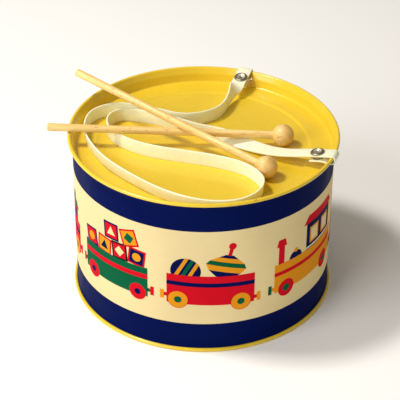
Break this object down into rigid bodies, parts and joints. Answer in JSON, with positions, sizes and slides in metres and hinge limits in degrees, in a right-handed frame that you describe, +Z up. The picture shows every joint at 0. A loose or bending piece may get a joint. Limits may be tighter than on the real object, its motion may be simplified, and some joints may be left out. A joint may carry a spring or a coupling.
{
  "type": "toy drum",
  "caption": "Round tin toy drum with recessed metal heads, a flat neck strap held by snap fasteners and lying on the top head, and a pair of ball-ended wooden sticks resting across it.",
  "frame": {"origin": "on the drum's axis, in the plane that the bottom rim stands on", "axes": "+Z up along the drum's axis, -Y towards the side that shows the engine at its right, the sticks' tails towards -X"},
  "size_m": [0.2358, 0.22, 0.1644],
  "materials": {
    "printed_tin": "gloss printed lacquer",
    "yellow_tin": "gloss enamel",
    "cream_strap": "satin vinyl",
    "snap_metal": "darkened plated steel",
    "bare_wood": "sanded, thin clear coat"
  },
  "bodies": {
    "drum": {"drum_shell": "printed_tin", "top_head": "yellow_tin", "bottom_head": "yellow_tin", "strap": "cream_strap", "snap_cap_rear": "snap_metal", "snap_socket_rear": "snap_metal", "snap_cap_right": "snap_metal", "snap_socket_right": "snap_metal"},
    "tail_rear": {"strap_tail_rear": "cream_strap", "snap_stud_rear": "snap_metal", "snap_eyelet_rear": "snap_metal"},
    "tail_right": {"strap_tail_right": "cream_strap", "snap_stud_right": "snap_metal", "snap_eyelet_right": "snap_metal"},
    "stick_lower": {"stick_lower_dowel": "bare_wood", "stick_lower_ball": "bare_wood"},
    "stick_upper": {"stick_upper_dowel": "bare_wood", "stick_upper_ball": "bare_wood"}
  },
  "joints": [
    {"name": "snap_rear_open", "type": "hinge", "parent": "drum", "child": "tail_rear", "pos_m": [0.03486, 0.1001, 0.1356], "axis": [0.9444, -0.3289, 0], "range_deg": [0, 12]},
    {"name": "snap_right_open", "type": "hinge", "parent": "drum", "child": "tail_right", "pos_m": [0.09992, -0.03538, 0.1356], "axis": [-0.3338, -0.9426, 0], "range_deg": [0, 12]},
    {"name": "stick_lower_lift", "type": "slide", "parent": "drum", "child": "stick_lower", "axis": [0, 0, 1], "range_m": [0, 0.12]},
    {"name": "stick_upper_lift", "type": "slide", "parent": "stick_lower", "child": "stick_upper", "axis": [0, 0, 1], "range_m": [0, 0.1]}
  ]
}
